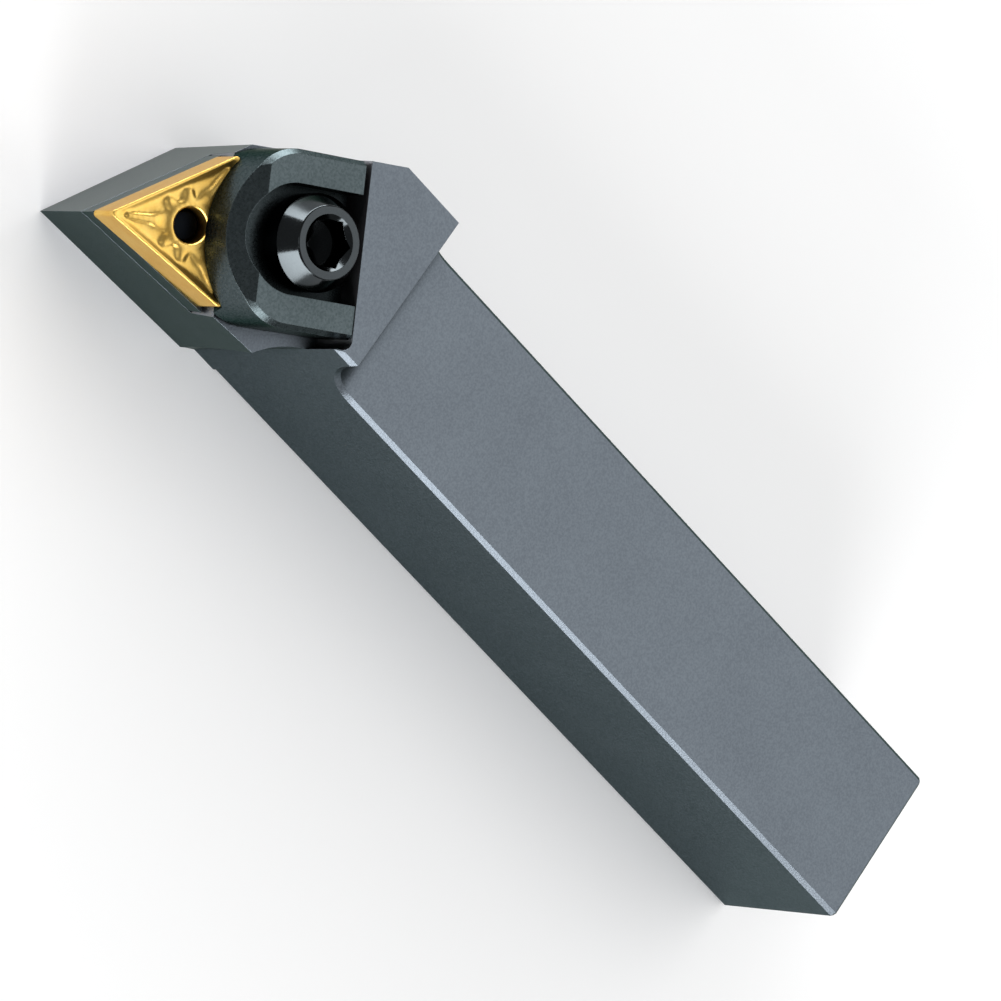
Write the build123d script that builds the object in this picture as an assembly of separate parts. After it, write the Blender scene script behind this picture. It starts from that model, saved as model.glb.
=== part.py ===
from build123d import *
import math
import os

# Right-hand external turning tool holder with a wedge clamp, in millimetres.
# X runs to the right, Y from the rear end towards the head, Z up from the base.
# The origin lies on the base, on the shank's centreline, ORIGIN_FROM_REAR ahead of the rear end.

# Shank
SHANK_WIDTH = 20.0
SHANK_HEIGHT = 20.0
OVERALL_LENGTH = 125.0
TIP_OFFSET = 25.0            # cutting tip to the shank's right side
ORIGIN_FROM_REAR = 45.0
LONG_EDGE_CHAMFER = 0.5
REAR_EDGE_CHAMFER = 0.4

# Cutting geometry, in degrees
LEAD_ANGLE = 3.0             # main edge against the shank's axis
EDGE_INCLINATION = 6.0
RAKE_ANGLE = 6.0
FLANK_LEAD = 2.2             # lower edge of the head's flank against the shank's axis
SIDE_CLEARANCE = 9.3         # head's flank under the main edge
FRONT_CLEARANCE = 3.6        # head's flank under the minor edge
FLANK_SETBACK = 0.2          # main flank behind the insert's lower tip

# Insert
INSERT_IC = 9.525            # inscribed circle
INSERT_THICKNESS = 4.76
INSERT_HOLE_RADIUS = 1.905
INSERT_CORNER_RADIUS = 0.4
HOLE_EDGE_CHAMFER = 0.2
EDGE_HONE = 0.06
EDGE_LAND = 0.26
GROOVE_DEPTH = 0.4
GROOVE_WALL_ANGLE = 58.0     # groove wall, leaning from the upright
HUB_WALL_ANGLE = 45.0
PLATEAU_DEPTH = 0.12         # hub's flat below the insert's top
RIB_WALL_ANGLE = 35.0
RIB_HALF_WIDTH = 0.66        # at its foot
RIB_NARROW_END = 0.46        # half width at its tip end
RIB_START = 3.57             # from the insert's centre, under the hub
RIB_END = 7.7
RIB_END_RADIUS = 0.41
BOSS_WIDTH = 0.95            # ring round the hole
# Half of a hub lobe: distance as a share of the inscribed radius, degrees off the corner's bisector
HUB_HALF_LOBE = [(1.0, 0), (0.96, 10), (0.64, 23), (0.86, 34), (0.84, 46), (0.61, 55)]

# Shim and pin
SHIM_THICKNESS = 3.18
SHIM_FLUSH_GAP = 0.03        # shim's sides behind the head's flanks
PIN_NOSE_CLEARANCE = 0.06
PIN_NOSE_BELOW_TOP = 1.7
PIN_COLLAR_RADIUS = 2.5
PIN_COLLAR_CLEARANCE = 0.15
PIN_STEM_RADIUS = 2.0
PIN_STEM_DEPTH = 7.0
PIN_CHAMFER = 0.4

# Head
LAND_LEFT_LENGTH = 3.3026    # land's left side, from the step to the pocket
HEAD_RISE = 6.5              # land above the shank's top
STEP_RADIUS = 5.5
HEEL_OVERHANG = 0.7          # head beyond the shank's right side
HEAD_SIDE_MARGIN = 1.4       # slanted right side beyond the insert's corner
FLANK_CUTTER_RADIUS = 10.5
FLANK_CUTTER_CREASE = 1.2    # how far the cutter's arc overruns the shank's side

# Pockets
POCKET_LEFT_MARGIN = 2.45    # pocket's left wall beyond the insert's corner
POCKET_CORNER_RADIUS = 1.1
CLAMP_FLOOR_DEPTH = 2.4      # floor under the clamp, below the insert's top
INSERT_POCKET_GAP = 0.35
WEDGE_ANGLE = 7.0
WALL_BEHIND_SCREW = 5.8      # sloped wall behind the screw, at the land's level

# Clamp
SCREW_BEHIND_INSERT = 7.93   # screw axis behind the insert's rear side
CLAMP_SIDE_CLEARANCE = 0.1   # clamp's side to the end of the pocket's round corner
CLAMP_TOP_BELOW_LAND = 0.1
CLAMP_FLOOR_GAP = 0.5
CLAMP_CONTACT_GAP = 0.02
NOSE_ARC_RADIUS = 12.5       # at the insert's top
NOSE_OVERLAP = 3.1           # nose tip beyond the insert's rear side
NOSE_DRAFT = 9.0
NOSE_CORNER_RADIUS = 6.0     # where the nose's arc meets the clamp's sides
BEVEL_BEHIND_NOSE = 4.1      # start of the front bevel on the flat top
BEVEL_ANGLE = 26.0
CLAMP_EDGE_CHAMFER = 0.55
ARM_RELIEF = 0.6             # right arm ends short of the sloped wall
RECESS_FRONT_CLEARANCE = 3.4
RECESS_SIDE_CLEARANCE = 0.65
CLAMP_HOLE_CLEARANCE = 0.5

# Screw
SCREW_RADIUS = 3.0
SCREW_RUNNING_CLEARANCE = 0.05
SCREW_TIP_ABOVE_BASE = 2.5
SCREW_TIP_CHAMFER = 0.8
HEAD_RADIUS = 5.25
HEAD_CYLINDER = 2.45
HEAD_CONE = 2.15
HEAD_FACE_RADIUS = 3.9
HEAD_EDGE_RADIUS = 0.3       # between the cone and the face
HEAD_ABOVE_CLAMP = 0.0       # cone's foot above the clamp's flat top
HEX_ACROSS_FLATS = 5.0
HEX_DEPTH = 3.0
HEX_MOUTH_CHAMFER = 0.55     # countersink beyond the flats
HEX_DRILL_POINT = 1.25
HOLE_MOUTH_CHAMFER = 0.5

# Retaining ring
RING_THICKNESS = 0.7
RING_RIM = 1.5               # beyond the screw's shank
RING_GROOVE_DEPTH = 0.7
RING_FIT = 0.02
RING_PLAY = 0.1
RING_ROOM = 0.5              # counterbores beyond the ring's rim
RING_THROAT = 3.9            # open side
RING_NOTCH_LENGTH = 3.0
RING_NOTCH_WIDTH = 2.8
RING_NOTCH_TURN = 20.0
CLAMP_WEB = 2.2              # clamp metal between the head and the ring

FAR = 60.0                   # reach of the cutting blocks past the tool
BLANK_MARGIN = 15.0          # head's stock beyond its flanks, cut away by them
OVERCUT = 1.0                # cutters' overrun past a face
TINY = 0.001                 # two places nearer than this are the same


def sin_deg(angle):
    return math.sin(math.radians(angle))


def cos_deg(angle):
    return math.cos(math.radians(angle))


def tan_deg(angle):
    return math.tan(math.radians(angle))


# Places worked out from the sizes
REAR_Y = -ORIGIN_FROM_REAR
TIP = Vector(SHANK_WIDTH / 2 - TIP_OFFSET, REAR_Y + OVERALL_LENGTH, SHANK_HEIGHT)
LAND_Z = SHANK_HEIGHT + HEAD_RISE
LEFT_X = -SHANK_WIDTH / 2
HEEL_X = SHANK_WIDTH / 2 + HEEL_OVERHANG

EDGE_DIR = Vector(
    sin_deg(LEAD_ANGLE) * cos_deg(EDGE_INCLINATION),
    -cos_deg(LEAD_ANGLE) * cos_deg(EDGE_INCLINATION),
    sin_deg(EDGE_INCLINATION),
)
RAKE_DIR = Vector(
    cos_deg(LEAD_ANGLE) * cos_deg(RAKE_ANGLE),
    sin_deg(LEAD_ANGLE) * cos_deg(RAKE_ANGLE),
    sin_deg(RAKE_ANGLE),
)
SEAT_NORMAL = EDGE_DIR.cross(RAKE_DIR).normalized()
ACROSS_DIR = SEAT_NORMAL.cross(EDGE_DIR)
TO_CENTRE = EDGE_DIR * cos_deg(30) + ACROSS_DIR * sin_deg(30)
INSERT_CENTRE = TIP + TO_CENTRE * (INSERT_IC - INSERT_CORNER_RADIUS)

# The insert's frame: local X to the tip, local Z off its top face, which is local zero
INSERT_TOP = Plane(origin=INSERT_CENTRE, x_dir=TO_CENTRE * -1, z_dir=SEAT_NORMAL)
SEAT_DEPTH = INSERT_THICKNESS + SHIM_THICKNESS
REAR_SIDE = -INSERT_IC / 2

# The clamp's frame: local X forwards along the corner's bisector, local Y outwards, on the base
AXIS_DIR = Vector(-sin_deg(30 + LEAD_ANGLE), cos_deg(30 + LEAD_ANGLE), 0)
SCREW_SPOT = Vector(INSERT_CENTRE.X, INSERT_CENTRE.Y, 0) - AXIS_DIR * (SCREW_BEHIND_INSERT - REAR_SIDE)
CLAMP_FRAME = Plane(origin=SCREW_SPOT, x_dir=AXIS_DIR, z_dir=(0, 0, 1))
INSERT_HALF_EDGE = INSERT_IC / 2 * math.sqrt(3)
HEAD_RIGHT = -(INSERT_HALF_EDGE + HEAD_SIDE_MARGIN)
POCKET_LEFT = INSERT_HALF_EDGE + POCKET_LEFT_MARGIN

# Where the pocket's left wall meets the shank's left side, and the step behind it
SIDE_REACH = (SCREW_SPOT.X - LEFT_X) * AXIS_DIR.Y
FLANK_START_Y = SCREW_SPOT.Y + (POCKET_LEFT - SIDE_REACH) / AXIS_DIR.X
STEP_Y = FLANK_START_Y - LAND_LEFT_LENGTH

CLAMP_TOP = LAND_Z - CLAMP_TOP_BELOW_LAND
CLAMP_HALF_WIDTH = POCKET_LEFT - POCKET_CORNER_RADIUS - CLAMP_SIDE_CLEARANCE
CONE_FOOT = CLAMP_TOP + HEAD_ABOVE_CLAMP
RECESS_FLOOR = CONE_FOOT - HEAD_CYLINDER
RING_TOP = RECESS_FLOOR - CLAMP_WEB - RING_PLAY
RING_RADIUS = SCREW_RADIUS + RING_RIM
RING_SEAT_RADIUS = SCREW_RADIUS - RING_GROOVE_DEPTH
NOSE_TIP = SCREW_BEHIND_INSERT + NOSE_OVERLAP
RECESS_HALF_WIDTH = HEAD_RADIUS + RECESS_SIDE_CLEARANCE
RECESS_FRONT = HEAD_RADIUS + RECESS_FRONT_CLEARANCE
RING_BORE_RADIUS = RING_RADIUS + RING_ROOM


def upright(radius, low, high):
    """Round bar on the screw's axis between two heights."""
    bar = Cylinder(radius, high - low, align=(Align.CENTER, Align.CENTER, Align.MIN))
    return Plane(SCREW_SPOT).location * Location((0, 0, low)) * bar


def along_pin(radius, low, high):
    """Round bar on the pin's axis, heights measured from the insert's top face."""
    bar = Cylinder(radius, high - low, align=(Align.CENTER, Align.CENTER, Align.MIN))
    return INSERT_TOP.location * Location((0, 0, low)) * bar


def wall_line(height, gap=0.0):
    """Sloped wall's place along the clamp's axis at a height."""
    return -WALL_BEHIND_SCREW - (height - LAND_Z) * tan_deg(WEDGE_ANGLE) + gap


def triangle(inradius, corner):
    points = [(2 * inradius * cos_deg(a), 2 * inradius * sin_deg(a)) for a in (0, 120, 240)]
    outline = Polygon(*points, align=None)
    return fillet(outline.vertices(), corner)


def half_space(point, normal):
    """Large block on the side that the normal points to."""
    plane = Plane(origin=point, z_dir=normal)
    return plane.location * Box(4 * FAR, 4 * FAR, 2 * FAR, align=(Align.CENTER, Align.CENTER, Align.MIN))


# ---------- insert ----------

def hub_outline():
    """Raised middle of the insert's face: a broad lobe towards each corner, two teeth towards each side."""
    inradius = INSERT_IC / 2
    points = []
    for corner in (0, 120, 240):
        left = [(r, corner + a) for r, a in HUB_HALF_LOBE]
        right = [(r, corner - a) for r, a in HUB_HALF_LOBE[1:]]
        points += [(inradius * r * cos_deg(a), inradius * r * sin_deg(a)) for r, a in right[::-1] + left]
    return Polygon(*points, align=None)


def corner_rib():
    """Rib on a corner's bisector, from the hub almost to the cutting tip."""
    outline = [
        (RIB_START, -RIB_HALF_WIDTH),
        (RIB_END, -RIB_NARROW_END),
        (RIB_END, RIB_NARROW_END),
        (RIB_START, RIB_HALF_WIDTH),
    ]
    bar = Polygon(*outline, align=None)
    return fillet(bar.vertices().sort_by(Axis.X)[-2:], RIB_END_RADIUS)


def raised(outline, depth, angle):
    """Sloped-sided island standing on the groove's floor, its top at a depth below the face."""
    floor = Plane.XY.offset(-GROOVE_DEPTH)
    return extrude(floor * outline, GROOVE_DEPTH - depth, taper=angle)


def chip_groove():
    """Space pressed into one face: a moat round the hub, its boss and the ribs."""
    moat = extrude(triangle(INSERT_IC / 2 - EDGE_LAND, INSERT_CORNER_RADIUS), -GROOVE_DEPTH,
                   taper=GROOVE_WALL_ANGLE)
    moat -= raised(hub_outline(), PLATEAU_DEPTH, HUB_WALL_ANGLE)
    moat -= raised(Circle(INSERT_HOLE_RADIUS + BOSS_WIDTH), 0, RIB_WALL_ANGLE)
    for corner in (0, 120, 240):
        moat -= raised(Rot(Z=corner) * corner_rib(), 0, RIB_WALL_ANGLE)
    return moat


def make_insert():
    body = extrude(triangle(INSERT_IC / 2, INSERT_CORNER_RADIUS), -INSERT_THICKNESS)
    ends = body.faces().sort_by(Axis.Z)
    body = chamfer(ends[0].edges() + ends[-1].edges(), EDGE_HONE)
    groove = chip_groove()
    middle = Plane.XY.offset(-INSERT_THICKNESS / 2)
    body -= groove
    body -= mirror(groove, about=middle)
    hole = Cylinder(INSERT_HOLE_RADIUS, 4 * INSERT_THICKNESS)
    body -= hole
    mouth = Cone(INSERT_HOLE_RADIUS, INSERT_HOLE_RADIUS + HOLE_EDGE_CHAMFER, HOLE_EDGE_CHAMFER,
                 align=(Align.CENTER, Align.CENTER, Align.MAX))
    body -= mouth
    body -= mirror(mouth, about=middle)
    return INSERT_TOP.location * body


def make_shim():
    """Seat plate: the insert's triangle, its two open sides ground flush with the head's flanks."""
    plate = extrude(triangle(INSERT_IC / 2 + INSERT_POCKET_GAP, INSERT_CORNER_RADIUS), -SHIM_THICKNESS)
    plate = INSERT_TOP.location * Location((0, 0, -INSERT_THICKNESS)) * plate
    plate -= INSERT_TOP.location * Location((REAR_SIDE, 0, 0)) * Box(
        FAR, FAR, FAR, align=(Align.MAX, Align.CENTER, Align.CENTER))
    plate -= outside_flanks(SHIM_FLUSH_GAP)
    return plate - along_pin(PIN_COLLAR_RADIUS + PIN_COLLAR_CLEARANCE, -SEAT_DEPTH - OVERCUT, 0)


def make_pin():
    nose_radius = INSERT_HOLE_RADIUS - PIN_NOSE_CLEARANCE
    top = -PIN_NOSE_BELOW_TOP
    foot = -SEAT_DEPTH - PIN_STEM_DEPTH
    collar_top = -INSERT_THICKNESS - PIN_CHAMFER
    outline = [
        (0, foot),
        (PIN_STEM_RADIUS - PIN_CHAMFER, foot),
        (PIN_STEM_RADIUS, foot + PIN_CHAMFER),
        (PIN_STEM_RADIUS, -SEAT_DEPTH),
        (PIN_COLLAR_RADIUS, -SEAT_DEPTH),
        (PIN_COLLAR_RADIUS, collar_top),
        (nose_radius, collar_top),
        (nose_radius, top - PIN_CHAMFER),
        (nose_radius - PIN_CHAMFER, top),
        (0, top),
    ]
    section = make_face(Plane.XZ * Polyline(*outline, close=True))
    return INSERT_TOP.location * revolve(section, axis=Axis.Z)


# ---------- holder ----------

def make_shank():
    length = STEP_Y - REAR_Y
    bar = Location((0, REAR_Y, 0)) * Box(
        SHANK_WIDTH, length, SHANK_HEIGHT, align=(Align.CENTER, Align.MIN, Align.MIN))
    lower_edges = [edge for edge in bar.edges().filter_by(Axis.Y) if edge.center().Z < SHANK_HEIGHT / 2]
    return chamfer(lower_edges, LONG_EDGE_CHAMFER)


def upper_side_edges(body, side_x):
    """Upper edges on one side of the shank: its top, the hollow run-out and the land."""
    def on_side(edge):
        box = edge.bounding_box()
        flat = abs(box.min.X - side_x) < TINY and abs(box.max.X - side_x) < TINY
        return flat and box.min.Z > SHANK_HEIGHT - TINY and box.min.Y < STEP_Y + TINY
    return body.edges().filter_by(on_side)


def head_outline():
    """Plan of the head, its left side led out to the overhang by the flank cutter's arc."""
    start_y = FLANK_START_Y
    radius = FLANK_CUTTER_RADIUS
    centre_x = LEFT_X - radius + FLANK_CUTTER_CREASE
    start_angle = math.degrees(math.acos((LEFT_X - centre_x) / radius))
    centre_y = start_y - radius * sin_deg(start_angle)
    middle = (start_angle + 90) / 2
    diagonal = (centre_x + radius * cos_deg(middle), centre_y + radius * sin_deg(middle))
    crown = (centre_x, centre_y + radius)
    outer_x = centre_x - BLANK_MARGIN
    front_y = TIP.Y + BLANK_MARGIN
    lines = [
        Line((HEEL_X, STEP_Y), (LEFT_X, STEP_Y)),
        Line((LEFT_X, STEP_Y), (LEFT_X, start_y)),
        ThreePointArc((LEFT_X, start_y), diagonal, crown),
        Line(crown, (outer_x, crown[1])),
        Line((outer_x, crown[1]), (outer_x, front_y)),
        Line((outer_x, front_y), (HEEL_X, front_y)),
        Line((HEEL_X, front_y), (HEEL_X, STEP_Y)),
    ]
    return make_face(Curve() + lines)


def step_fillet():
    """Hollow run-out from the land's back down to the shank's top."""
    width = SHANK_WIDTH
    block = Location((0, STEP_Y, SHANK_HEIGHT)) * Box(
        width, STEP_RADIUS, STEP_RADIUS, align=(Align.CENTER, Align.MAX, Align.MIN))
    hollow = Location((0, STEP_Y - STEP_RADIUS, SHANK_HEIGHT + STEP_RADIUS), (0, 90, 0)) * Cylinder(
        STEP_RADIUS, 2 * width)
    return block - hollow


def outside_flank(lead, clearance, inset=0.0):
    """Space outside a flank: a plane through the insert's lower tip, leaning in as it goes down."""
    outward = Vector(-cos_deg(lead), -sin_deg(lead), 0)
    normal = outward * cos_deg(clearance) - Vector(0, 0, sin_deg(clearance))
    lower_tip = INSERT_CENTRE - TO_CENTRE * INSERT_IC - SEAT_NORMAL * INSERT_THICKNESS
    return half_space(lower_tip - normal * inset, normal)


def outside_flanks(inset=0.0):
    """Space outside the main flank and the front flank."""
    main = outside_flank(FLANK_LEAD, SIDE_CLEARANCE, inset + FLANK_SETBACK)
    front = outside_flank(LEAD_ANGLE - 120, FRONT_CLEARANCE, inset)
    return main + front


def make_head():
    """Raised head: both flanks, and a right side milled square to the insert's seat."""
    block = extrude(head_outline(), LAND_Z)
    block -= outside_flanks()
    slant = INSERT_TOP.location * Location((0, HEAD_RIGHT, 0)) * Box(
        4 * FAR, FAR, 4 * FAR, align=(Align.CENTER, Align.MAX, Align.CENTER))
    return block - slant


def clamp_floor():
    return INSERT_TOP.offset(-CLAMP_FLOOR_DEPTH)


def clamp_pocket():
    """Open space for the clamp, between the sloped wall and the left wall, above its floor."""
    low = -FAR
    high = FAR
    section = [(wall_line(low), low), (FAR, low), (FAR, high), (wall_line(high), high)]
    side_view = Plane(origin=(0, POCKET_LEFT, 0), x_dir=(1, 0, 0), z_dir=(0, -1, 0))
    space = extrude(side_view * Polygon(*section, align=None), 2 * FAR)
    left_edges = space.edges().filter_by(lambda edge: abs(edge.center().Y - POCKET_LEFT) < TINY)
    corner = left_edges.sort_by(Axis.X)[0]
    space = fillet(corner, POCKET_CORNER_RADIUS)
    space = CLAMP_FRAME.location * space
    return split(space, bisect_by=clamp_floor(), keep=Keep.TOP)


def overhang_top():
    """Head metal outside the shank's left side, above the clamp's floor."""
    block = Location((LEFT_X, TIP.Y, LAND_Z)) * Box(
        FAR, 2 * FAR, FAR, align=(Align.MAX, Align.CENTER, Align.CENTER))
    return split(block, bisect_by=clamp_floor(), keep=Keep.TOP)


def insert_pocket():
    back = REAR_SIDE - INSERT_POCKET_GAP
    return INSERT_TOP.location * Location((back, 0, -SEAT_DEPTH)) * Box(
        FAR, 2 * FAR, FAR, align=(Align.MIN, Align.CENTER, Align.MIN))


def screw_hole():
    radius = SCREW_RADIUS + SCREW_RUNNING_CLEARANCE
    hole = upright(radius, -OVERCUT, LAND_Z)
    counterbore = upright(RING_BORE_RADIUS, RING_TOP - RING_THICKNESS - RING_PLAY, LAND_Z)
    mouth = Cone(radius + HOLE_MOUTH_CHAMFER, radius, HOLE_MOUTH_CHAMFER,
                 align=(Align.CENTER, Align.CENTER, Align.MIN))
    return hole + counterbore + Plane(SCREW_SPOT).location * mouth


def make_holder():
    body = make_shank() + step_fillet() + make_head()
    for side_x in (LEFT_X, -LEFT_X):
        body = chamfer(upper_side_edges(body, side_x), LONG_EDGE_CHAMFER)
    body = chamfer(body.faces().sort_by(Axis.Y)[0].edges(), REAR_EDGE_CHAMFER)
    body -= clamp_pocket()
    body -= overhang_top()
    body -= insert_pocket()
    body -= screw_hole()
    body -= along_pin(PIN_STEM_RADIUS, -SEAT_DEPTH - PIN_STEM_DEPTH, 0)
    return body


# ---------- clamp ----------

def clamp_blank():
    """Clamp before its recess and under-cuts, in the clamp's frame: straight sides and a conical nose."""
    centre = NOSE_TIP - NOSE_ARC_RADIUS
    slope = tan_deg(NOSE_DRAFT)
    foot_radius = NOSE_ARC_RADIUS + INSERT_CENTRE.Z * slope
    nose = Location((centre, 0, 0)) * Cone(
        foot_radius, foot_radius - CLAMP_TOP * slope, CLAMP_TOP, align=(Align.CENTER, Align.CENTER, Align.MIN))
    nose &= Box(2 * FAR, 2 * CLAMP_HALF_WIDTH, CLAMP_TOP, align=(Align.CENTER, Align.CENTER, Align.MIN))
    behind = Location((centre, 0, 0)) * Box(
        FAR, 2 * CLAMP_HALF_WIDTH, CLAMP_TOP, align=(Align.MAX, Align.CENTER, Align.MIN))
    blank = nose + behind
    upright_edges = blank.edges().filter_by(lambda edge: edge.bounding_box().size.Z > CLAMP_TOP - TINY)
    blank = fillet(upright_edges.filter_by(lambda edge: edge.center().X > centre), NOSE_CORNER_RADIUS)
    top_edges = blank.faces().sort_by(Axis.Z)[-1].edges().sort_by(Axis.X)
    blank = chamfer(top_edges[1:], CLAMP_EDGE_CHAMFER)
    bevel_start = Vector(NOSE_TIP - BEVEL_BEHIND_NOSE, 0, CLAMP_TOP)
    blank -= half_space(bevel_start, Vector(sin_deg(BEVEL_ANGLE), 0, cos_deg(BEVEL_ANGLE)))
    return blank


def screw_recess():
    """Open-backed recess round the screw's head, in the clamp's frame."""
    centre = RECESS_FRONT - RECESS_HALF_WIDTH
    height = CLAMP_TOP - RECESS_FLOOR + OVERCUT
    round_end = Location((centre, 0, RECESS_FLOOR)) * Cylinder(
        RECESS_HALF_WIDTH, height, align=(Align.CENTER, Align.CENTER, Align.MIN))
    channel = Location((centre, 0, RECESS_FLOOR)) * Box(
        FAR, 2 * RECESS_HALF_WIDTH, height, align=(Align.MAX, Align.CENTER, Align.MIN))
    return round_end + channel


def rear_cut(gap, left_end):
    """Everything nearer the sloped wall than a gap, to the right of a place across the clamp."""
    high = 2 * LAND_Z
    section = [(-FAR, 0), (wall_line(0, gap), 0), (wall_line(high, gap), high), (-FAR, high)]
    side_view = Plane(origin=(0, left_end, 0), x_dir=(1, 0, 0), z_dir=(0, -1, 0))
    return extrude(side_view * Polygon(*section, align=None), 2 * FAR)


def make_clamp():
    body = clamp_blank() - screw_recess() - rear_cut(CLAMP_CONTACT_GAP, FAR) - rear_cut(ARM_RELIEF, 0)
    body = CLAMP_FRAME.location * body
    underside = INSERT_TOP.offset(CLAMP_FLOOR_GAP - CLAMP_FLOOR_DEPTH)
    body = split(body, bisect_by=underside, keep=Keep.TOP)
    insert_room = INSERT_TOP.location * Location((REAR_SIDE - CLAMP_CONTACT_GAP, 0, CLAMP_CONTACT_GAP)) * Box(
        FAR, 2 * FAR, FAR, align=(Align.MIN, Align.CENTER, Align.MAX))
    body -= insert_room
    body -= upright(SCREW_RADIUS + CLAMP_HOLE_CLEARANCE, 0, LAND_Z)
    body -= upright(RING_BORE_RADIUS, 0, RING_TOP + RING_PLAY)
    return body


# ---------- screw and ring ----------

def make_screw():
    face = CONE_FOOT + HEAD_CONE
    groove_low = RING_TOP - RING_THICKNESS - RING_PLAY
    groove_high = RING_TOP
    outline = [
        (0, SCREW_TIP_ABOVE_BASE),
        (SCREW_RADIUS - SCREW_TIP_CHAMFER, SCREW_TIP_ABOVE_BASE),
        (SCREW_RADIUS, SCREW_TIP_ABOVE_BASE + SCREW_TIP_CHAMFER),
        (SCREW_RADIUS, groove_low),
        (RING_SEAT_RADIUS, groove_low),
        (RING_SEAT_RADIUS, groove_high),
        (SCREW_RADIUS, groove_high),
        (SCREW_RADIUS, RECESS_FLOOR),
        (HEAD_RADIUS, RECESS_FLOOR),
        (HEAD_RADIUS, CONE_FOOT),
        (HEAD_FACE_RADIUS, face),
        (0, face),
    ]
    section = make_face(Plane.XZ * Polyline(*outline, close=True))
    body = revolve(section, axis=Axis.Z)
    body = fillet(body.faces().sort_by(Axis.Z)[-1].edges(), HEAD_EDGE_RADIUS)
    hexagon = RegularPolygon(HEX_ACROSS_FLATS / 2, 6, major_radius=False)
    socket = extrude(Plane.XY.offset(face) * hexagon, -HEX_DEPTH)
    mouth = Location((0, 0, face)) * Cone(
        HEX_ACROSS_FLATS / 2, HEX_ACROSS_FLATS / 2 + HEX_MOUTH_CHAMFER, HEX_MOUTH_CHAMFER,
        align=(Align.CENTER, Align.CENTER, Align.MAX))
    drill_point = Location((0, 0, face - HEX_DEPTH)) * Cone(
        0, HEX_ACROSS_FLATS / 2, HEX_DRILL_POINT, align=(Align.CENTER, Align.CENTER, Align.MAX))
    body = body - socket - mouth - drill_point
    return Plane(SCREW_SPOT).location * body


def make_ring():
    """E-shaped ring, open to the rear, pushed into the screw's groove."""
    inner = RING_SEAT_RADIUS + RING_FIT
    plate = Circle(RING_RADIUS) - Circle(inner)
    throat = Location((-RING_RADIUS, 0)) * Rectangle(2 * RING_RADIUS, RING_THROAT)
    plate -= throat
    for side in (-1, 1):
        notch = Rectangle(RING_NOTCH_LENGTH, RING_NOTCH_WIDTH)
        plate -= Location((0, side * inner)) * Rot(Z=side * RING_NOTCH_TURN) * notch
    solid = extrude(plate, RING_THICKNESS)
    return CLAMP_FRAME.location * Location((0, 0, RING_TOP - RING_THICKNESS)) * solid


PIECES = {
    "holder_body": make_holder,
    "shim": make_shim,
    "locating_pin": make_pin,
    "insert": make_insert,
    "wedge_clamp": make_clamp,
    "clamp_screw": make_screw,
    "retaining_ring": make_ring,
}

os.makedirs("parts", exist_ok=True)
for name, make in PIECES.items():
    export_step(make(), f"parts/{name}.step")
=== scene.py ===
import math

import bpy
from mathutils import Matrix, Vector


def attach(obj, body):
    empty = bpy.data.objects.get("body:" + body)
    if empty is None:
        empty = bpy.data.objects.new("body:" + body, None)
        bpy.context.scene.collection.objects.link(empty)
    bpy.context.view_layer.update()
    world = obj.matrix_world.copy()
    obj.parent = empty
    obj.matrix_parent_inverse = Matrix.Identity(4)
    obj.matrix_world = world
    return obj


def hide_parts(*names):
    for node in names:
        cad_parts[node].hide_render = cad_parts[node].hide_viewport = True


# Turns millimetres into Blender's metres
MM = 0.001

# Camera: its lens and sensor are in millimetres
CAMERA_PLACE = Vector((-282.6, 364.0, 604.9)) * MM
CAMERA_AIM = Vector((-0.24, 16.12, 10.0)) * MM
CAMERA_ROLL = math.radians(91.52)
CAMERA_LENS = 242.9
CAMERA_SENSOR = 36.0

# Studio, in metres: each lamp stands at LAMP_DISTANCE from the head and faces it. Its bearing runs
# from +X towards +Y and its elevation is above the floor, both in degrees.
HEAD_PLACE = Vector((-6.0, 62.0, 22.0)) * MM
LAMP_DISTANCE = 1.2
# Name, bearing, elevation, width and height of the face, radiance
LAMPS = [
    ("key_softbox", -54, 47, (1.9, 1.5), 1.45),
    ("left_softbox", 182, 8.5, (1.5, 0.4), 9.5),
    ("left_strip", 208, 25, (0.5, 0.3), 8.0),
    ("front_softbox", 42, 9, (1.6, 0.45), 10.0),
    ("front_fill", 132, 54, (0.45, 0.45), 1.0),
]
WORLD_STRENGTH = 0.20
FLOOR_SIZE = 6.0

# Insert as it is seated: middle of its top, the way to its cutting corner and the way up
INSERT_PLACE = Vector((-10.0597, 72.4386, 21.2978)) * MM
INSERT_CORNER_WAY = Vector((-0.541401, 0.828649, -0.142221))
INSERT_UP = Vector((-0.109261, 0.098379, 0.989133))
INSERT_SIDES = (60, 180, 300)            # bearings of its sides from the cutting corner, in degrees
INSERT_INSCRIBED_RADIUS = 4.7625 * MM
INSERT_RIM = 0.36 * MM                   # hone and edge land, which aren't smoothed
INSERT_BORE_EDGE = 2.15 * MM
INSERT_RELIEF_DEPTH = 0.7 * MM
INSERT_GRID = 0.09 * MM
INSERT_MERGE_DISTANCE = 0.001 * MM
CREASE_ROUNDS = 36
CREASE_STEP = 0.5                        # share of the way to the neighbours in each round
CREASE_ANGLE = math.radians(40)

# Finishes
DRIFT_DETAIL = 3.0
GRAIN_DETAIL = 2.0
GRAIN_RANGE = (0.35, 0.65)               # where the grain's noise mostly lies, pit to peak
ROUGHNESS_SPREAD = 0.05                  # either way, pit to peak
SHARP_EDGE_RANGE = (0.995, 0.88)         # cosine between true and rounded normal, flat to sharp
CORNER_RANGE = (0.4, 0.95)               # share of open sky, deep corner to open face
FRONT_RANGE = (0.6, 0.8)                 # the normal's Y, other faces to front faces that get painted light
BEVEL_SAMPLES = 4
CORNER_SAMPLES = 6

# Colour sockets of a Mix node
MIX_A = 6
MIX_B = 7
MIX_RESULT = 2

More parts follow.
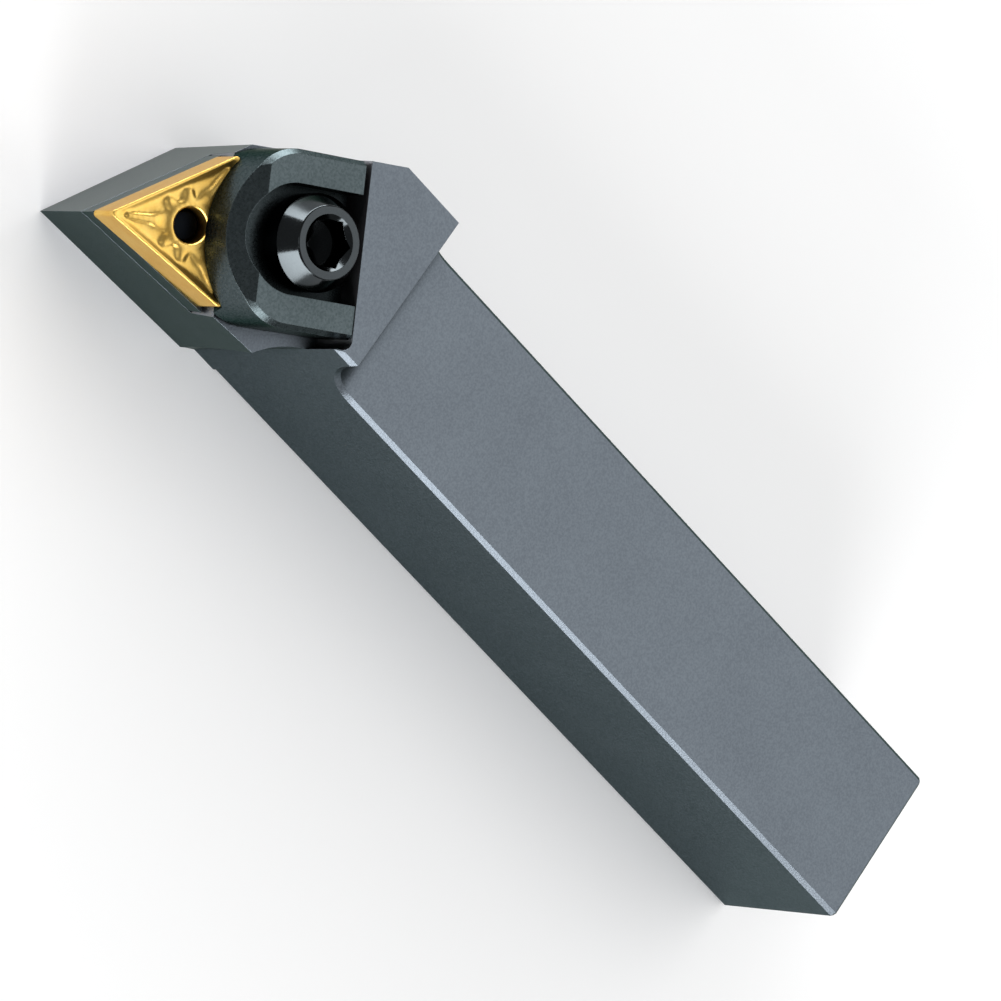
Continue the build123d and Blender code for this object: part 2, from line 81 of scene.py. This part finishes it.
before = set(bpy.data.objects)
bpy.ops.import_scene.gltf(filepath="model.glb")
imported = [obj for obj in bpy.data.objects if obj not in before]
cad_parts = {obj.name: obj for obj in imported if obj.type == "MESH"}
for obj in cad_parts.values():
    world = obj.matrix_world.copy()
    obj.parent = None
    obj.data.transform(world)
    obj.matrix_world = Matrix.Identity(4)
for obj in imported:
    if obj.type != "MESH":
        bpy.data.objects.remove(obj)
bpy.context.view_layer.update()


# ---------- materials ----------

def colour(code):
    """Linear colour of an sRGB hex value."""
    channels = [int(code[i:i + 2], 16) / 255 for i in (1, 3, 5)]
    linear = [c / 12.92 if c <= 0.04045 else ((c + 0.055) / 1.055) ** 2.4 for c in channels]
    return (*linear, 1.0)


def add_node(tree, kind, links=None, values=None, **settings):
    """Add a node, set its attributes and sockets, and link its inputs."""
    node = tree.nodes.new(kind)
    for name, value in settings.items():
        if hasattr(node, name):
            setattr(node, name, value)
        else:
            node.inputs[name.replace("_", " ")].default_value = value
    for socket, value in (values or {}).items():
        node.inputs[socket].default_value = value
    for socket, source in (links or {}).items():
        tree.links.new(source, node.inputs[socket])
    return node


def new_material(name, **shader):
    """A principled material with its constants on the shader's own sockets."""
    material = bpy.data.materials.new(name)
    material.use_nodes = True
    principled = material.node_tree.nodes["Principled BSDF"]
    for socket, value in shader.items():
        principled.inputs[socket.replace("_", " ")].default_value = value
    return material, material.node_tree, principled


def worn_and_highlit_edges(tree, rounded):
    """Mask that is 1 on sharp edges and 0 on flats, from a rounded normal."""
    flat = add_node(tree, "ShaderNodeNewGeometry")
    match = add_node(tree, "ShaderNodeVectorMath",
                     {0: rounded.outputs["Normal"], 1: flat.outputs["Normal"]},
                     operation="DOT_PRODUCT")
    mask = add_node(tree, "ShaderNodeMapRange", {"Value": match.outputs["Value"]},
                    From_Min=SHARP_EDGE_RANGE[0], From_Max=SHARP_EDGE_RANGE[1])
    return mask.outputs["Result"]


def painted_corner_shade(tree, reach_mm, darkest, own_corners):
    """Painted shade, from 1 in the open to a dark value deep in corners."""
    open_sky = add_node(tree, "ShaderNodeAmbientOcclusion", Distance=reach_mm * MM,
                        samples=CORNER_SAMPLES, only_local=own_corners)
    shade = add_node(tree, "ShaderNodeMapRange", {"Value": open_sky.outputs["AO"]},
                     From_Min=CORNER_RANGE[0], From_Max=CORNER_RANGE[1], To_Min=darkest)
    return shade.outputs["Result"]


def painted_front_light(tree, place):
    """Mask of painted light, 1 on faces that look to the front, +Y, and 0 on the others."""
    parts = add_node(tree, "ShaderNodeSeparateXYZ", {"Vector": place.outputs["Normal"]})
    mask = add_node(tree, "ShaderNodeMapRange", {"Value": parts.outputs["Y"]},
                    From_Min=FRONT_RANGE[0], From_Max=FRONT_RANGE[1])
    return mask.outputs["Result"]


def grained_metal(name, tone, bare_tone, roughness, grain_mm, grain_depth_mm, edge_mm,
                  drift_mm=9.0, drift_share=0.3, grain_share=0.4, slant_tone="#ffffff",
                  corner_reach_mm=4.0, corner_shade=0.1, own_corners=False, front_light_tone=None):
    """Metal with a fine grain, a faint drift of tone, painted shade in corners and pale edges.

    The tone moves towards bare_tone by up to drift_share over patches of drift_mm, and by up to
    grain_share over the grain. The real grain of all these finishes is 0.1 mm or finer and too
    fine to show, so grain_mm is drawn at 0.2 to 0.3 mm. Its relief is grain_depth_mm. Edges are
    eased over edge_mm and show bare_tone, as wear on steel and as a painted highlight on gold.
    slant_tone tints a face that is seen on a slant.
    Corners darken to corner_shade within corner_reach_mm as painted shade, and own_corners leaves
    out those that a piece makes with its neighbours. Faces that look to the front get painted light
    in a tone of their own.
    """
    material, tree, principled = new_material(name, Metallic=1.0, Specular_Tint=colour(slant_tone))
    place = add_node(tree, "ShaderNodeTexCoord")
    drift = add_node(tree, "ShaderNodeTexNoise", {"Vector": place.outputs["Object"]},
                     Scale=1.0 / (drift_mm * MM), Detail=DRIFT_DETAIL)
    grain = add_node(tree, "ShaderNodeTexNoise", {"Vector": place.outputs["Object"]},
                     Scale=1.0 / (grain_mm * MM), Detail=GRAIN_DETAIL)

    patches = add_node(tree, "ShaderNodeMapRange", {"Value": drift.outputs["Fac"]},
                       To_Max=drift_share)
    sparkle = add_node(tree, "ShaderNodeMapRange", {"Value": grain.outputs["Fac"]},
                       From_Min=GRAIN_RANGE[0], From_Max=GRAIN_RANGE[1], To_Max=grain_share)
    mottle = add_node(tree, "ShaderNodeMath",
                      {0: patches.outputs["Result"], 1: sparkle.outputs["Result"]},
                      operation="ADD")
    shade = add_node(tree, "ShaderNodeMix", {"Factor": mottle.outputs["Value"]},
                     {MIX_A: colour(tone), MIX_B: colour(bare_tone)}, data_type="RGBA")
    # Painted light: faces that look to the front, +Y, are made lighter
    if front_light_tone:
        shade = add_node(tree, "ShaderNodeMix",
                         {"Factor": painted_front_light(tree, place), MIX_A: shade.outputs[MIX_RESULT]},
                         {MIX_B: colour(front_light_tone)}, data_type="RGBA")

    rounded = add_node(tree, "ShaderNodeBevel", Radius=edge_mm * MM, samples=BEVEL_SAMPLES)
    # Edges show bare_tone: wear on the steel, and a painted highlight on the gold insert
    rubbed_and_highlit = add_node(tree, "ShaderNodeMix",
                      {"Factor": worn_and_highlit_edges(tree, rounded), MIX_A: shade.outputs[MIX_RESULT]},
                      {MIX_B: colour(bare_tone)}, data_type="RGBA")
    # Painted shade: the colour darkens in corners by how little open sky they see
    corner_darkening = painted_corner_shade(tree, corner_reach_mm, corner_shade, own_corners)
    shaded_colour = add_node(tree, "ShaderNodeVectorMath",
                     {0: rubbed_and_highlit.outputs[MIX_RESULT], "Scale": corner_darkening}, operation="SCALE")
    tree.links.new(shaded_colour.outputs["Vector"], principled.inputs["Base Color"])

    gloss = add_node(tree, "ShaderNodeMapRange", {"Value": grain.outputs["Fac"]},
                     To_Min=roughness - ROUGHNESS_SPREAD, To_Max=roughness + ROUGHNESS_SPREAD)
    tree.links.new(gloss.outputs["Result"], principled.inputs["Roughness"])
    bump = add_node(tree, "ShaderNodeBump",
                    {"Height": grain.outputs["Fac"], "Normal": rounded.outputs["Normal"]},
                    Strength=1.0, Distance=grain_depth_mm * MM)
    tree.links.new(bump.outputs["Normal"], principled.inputs["Normal"])
    return material


def satin_nickel_steel():
    """Heat-treated steel, blasted and nickel plated.

    It gives the eye a cool even grey with a sandy grain and blurred reflections, duller and a
    little green on a slant, with painted light on its front faces and painted shade in its corners.
    The pits that blasting leaves are about 0.1 mm, drawn more than twice as coarse so that they
    show.
    """
    return grained_metal("satin_nickel_steel", tone="#555b62", bare_tone="#6f777e",
                         roughness=0.36, grain_mm=0.24, grain_depth_mm=0.014, edge_mm=0.07,
                         slant_tone="#949e92", own_corners=True, front_light_tone="#9a9ca2")


def ground_carbide():
    """Ground tungsten carbide.

    It gives the eye nearly the holder's grey, but smoother and with thinner bright edges. The
    marks of grinding are under 0.05 mm, drawn as a grain of 0.3 mm so that they show.
    """
    # Painted light makes the shim's front faces lighter, and its corners get painted shade
    return grained_metal("ground_carbide", tone="#555c62", bare_tone="#5f676d",
                         roughness=0.36, grain_mm=0.3, grain_depth_mm=0.005, edge_mm=0.05,
                         slant_tone="#949e92", own_corners=True, front_light_tone="#8c9096")


def titanium_nitride_gold():
    """Pressed and sintered carbide with a gold titanium nitride coat.

    It gives the eye a warm satin yellow that drifts over patches of about 2 mm between deep and
    pale gold, as a thin coat does, with painted highlights of pale gold along its honed edges.
    """
    # Faint painted shade in the insert's corners, within corner_reach_mm
    return grained_metal("titanium_nitride_gold", tone="#e0ac44", bare_tone="#f2d27c",
                         roughness=0.33, grain_mm=0.25, grain_depth_mm=0.004, edge_mm=0.1,
                         drift_mm=2.2, drift_share=0.8, grain_share=0.2, slant_tone="#e0d2cc",
                         corner_reach_mm=0.6, corner_shade=0.85)


def dark_satin_steel():
    """Forged clamp, tempered dark and vapour blasted.

    It gives the eye a darker grey than the holder's, a little glossier, and painted shade, near
    black, in the recess round the screw. The blasting is finer than 0.1 mm, drawn at 0.28 mm so
    that it shows.
    """
    return grained_metal("dark_satin_steel", tone="#3c4547", bare_tone="#596265",
                         roughness=0.28, grain_mm=0.28, grain_depth_mm=0.008, edge_mm=0.10,
                         slant_tone="#989f98", corner_shade=0.08)


def black_oxide_steel():
    """Turned screw, blackened and left oily.

    It gives the eye near black with sharp bright reflections of the lamps round its cone.
    """
    return grained_metal("black_oxide_steel", tone="#373b3d", bare_tone="#4c5154",
                         roughness=0.13, grain_mm=0.2, grain_depth_mm=0.0008, edge_mm=0.08,
                         grain_share=0.1)


def hardened_pin_steel():
    """Ground pin, blued by its tempering.

    It gives the eye a dark blue-black deep in the insert's hole.
    """
    return grained_metal("hardened_pin_steel", tone="#1c2026", bare_tone="#2c3036",
                         roughness=0.35, grain_mm=0.2, grain_depth_mm=0.001, edge_mm=0.05)


def spring_steel():
    """Stamped spring-steel ring with an oily phosphate finish.

    It gives the eye a dull dark grey under the clamp.
    """
    # Painted shade darkens its corners to corner_shade
    return grained_metal("spring_steel", tone="#2e3234", bare_tone="#4a4e51",
                         roughness=0.35, grain_mm=0.2, grain_depth_mm=0.002, edge_mm=0.05,
                         corner_shade=0.08)


# Each node's material slot and finish
FINISHES = {
    "holder_body": ("holder_steel", satin_nickel_steel),
    "shim": ("shim_carbide", ground_carbide),
    "locating_pin": ("pin_steel", hardened_pin_steel),
    "insert": ("insert_coating", titanium_nitride_gold),
    "wedge_clamp": ("clamp_steel", dark_satin_steel),
    "clamp_screw": ("screw_steel", black_oxide_steel),
    "retaining_ring": ("ring_steel", spring_steel),
}


def dress_frame():
    """Give each carried-over node its finish."""
    for name, (slot, make_finish) in FINISHES.items():
        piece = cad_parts[name]
        piece.data.materials.clear()
        piece.data.materials.append(make_finish())


# ---------- pressed insert ----------

def on_relief(place):
    """True on the insert's upper relief, inside its rim and outside its bore."""
    offset = place - INSERT_PLACE
    along = offset.dot(INSERT_CORNER_WAY)
    aside = offset.dot(INSERT_UP.cross(INSERT_CORNER_WAY))
    rise = offset.dot(INSERT_UP)
    reach = max(along * math.cos(math.radians(side)) + aside * math.sin(math.radians(side))
                for side in INSERT_SIDES)
    return (rise > -INSERT_RELIEF_DEPTH
            and reach < INSERT_INSCRIBED_RADIUS - INSERT_RIM
            and math.hypot(along, aside) > INSERT_BORE_EDGE)


def press_insert():
    """Insert with the soft creases of pressed and sintered powder, in place of the sharp one."""
    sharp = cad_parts["insert"]
    piece = bpy.data.objects.new("pressed_insert", sharp.data.copy())
    bpy.context.scene.collection.objects.link(piece)
    bpy.ops.object.select_all(action="DESELECT")
    bpy.context.view_layer.objects.active = piece
    piece.select_set(True)

    bpy.ops.object.mode_set(mode="EDIT")
    bpy.ops.mesh.select_all(action="SELECT")
    bpy.ops.mesh.remove_doubles(threshold=INSERT_MERGE_DISTANCE)
    bpy.ops.object.mode_set(mode="OBJECT")

    grid = piece.modifiers.new("grid", "REMESH")
    grid.mode = "VOXEL"
    grid.voxel_size = INSERT_GRID
    bpy.ops.object.modifier_apply(modifier=grid.name)

    bpy.ops.object.mode_set(mode="EDIT")
    bpy.ops.mesh.select_mode(type="VERT")
    bpy.ops.mesh.select_all(action="DESELECT")
    bpy.ops.object.mode_set(mode="OBJECT")
    for vertex in piece.data.vertices:
        vertex.select = on_relief(vertex.co)
    bpy.ops.object.mode_set(mode="EDIT")
    bpy.ops.mesh.vertices_smooth(factor=CREASE_STEP, repeat=CREASE_ROUNDS)
    bpy.ops.object.mode_set(mode="OBJECT")
    bpy.ops.object.shade_smooth_by_angle(angle=CREASE_ANGLE)

    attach(piece, "holder")
    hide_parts("insert")


# ---------- studio ----------

def add_camera():
    """Camera that looks from its place to its aim, turned about that line by its roll."""
    data = bpy.data.cameras.new("camera")
    data.lens = CAMERA_LENS
    data.sensor_width = CAMERA_SENSOR
    camera = bpy.data.objects.new("camera", data)
    forward = (CAMERA_AIM - CAMERA_PLACE).normalized()
    level_right = forward.cross(Vector((0, 0, 1))).normalized()
    level_up = level_right.cross(forward)
    right = level_right * math.cos(CAMERA_ROLL) + level_up * math.sin(CAMERA_ROLL)
    up = right.cross(forward)
    turn = Matrix((right, up, -forward)).transposed()
    camera.matrix_world = Matrix.Translation(CAMERA_PLACE) @ turn.to_4x4()
    bpy.context.scene.collection.objects.link(camera)
    bpy.context.scene.camera = camera


def add_softbox(name, bearing, elevation, face, radiance):
    """Rectangular lamp that faces the head, with the power that gives its face this radiance."""
    width, height = face
    data = bpy.data.lights.new(name, "AREA")
    data.shape = "RECTANGLE"
    data.size = width
    data.size_y = height
    data.energy = radiance * math.pi * width * height
    lamp = bpy.data.objects.new(name, data)
    bearing = math.radians(bearing)
    elevation = math.radians(elevation)
    direction = Vector((
        math.cos(bearing) * math.cos(elevation),
        math.sin(bearing) * math.cos(elevation),
        math.sin(elevation),
    ))
    lamp.location = HEAD_PLACE + direction * LAMP_DISTANCE
    lamp.rotation_euler = (-direction).to_track_quat("-Z", "Y").to_euler()
    bpy.context.scene.collection.objects.link(lamp)


def add_floor():
    """Plain matt floor at the holder's base."""
    bpy.ops.object.select_all(action="DESELECT")
    bpy.ops.mesh.primitive_plane_add(size=FLOOR_SIZE, location=(0, 0, 0))
    floor = bpy.context.object
    floor.name = "floor"
    material = bpy.data.materials.new("pale_floor")
    material.use_nodes = True
    tree = material.node_tree
    tree.nodes.clear()
    matt = add_node(tree, "ShaderNodeBsdfDiffuse", Color=colour("#fcfcfc"))
    add_node(tree, "ShaderNodeOutputMaterial", {"Surface": matt.outputs["BSDF"]})
    floor.data.materials.append(material)


def add_world():
    """Even dim white all round, so that the lamps give the contrast."""
    world = bpy.data.worlds.new("studio")
    bpy.context.scene.world = world
    world.use_nodes = True
    tree = world.node_tree
    tree.nodes.clear()
    soft = add_node(tree, "ShaderNodeBackground", Color=colour("#ffffff"), Strength=WORLD_STRENGTH)
    add_node(tree, "ShaderNodeOutputWorld", {"Surface": soft.outputs["Background"]})


add_camera()
add_world()
add_floor()
for lamp_settings in LAMPS:
    add_softbox(*lamp_settings)
bpy.context.scene.view_settings.view_transform = "Standard"
dress_frame()
press_insert()
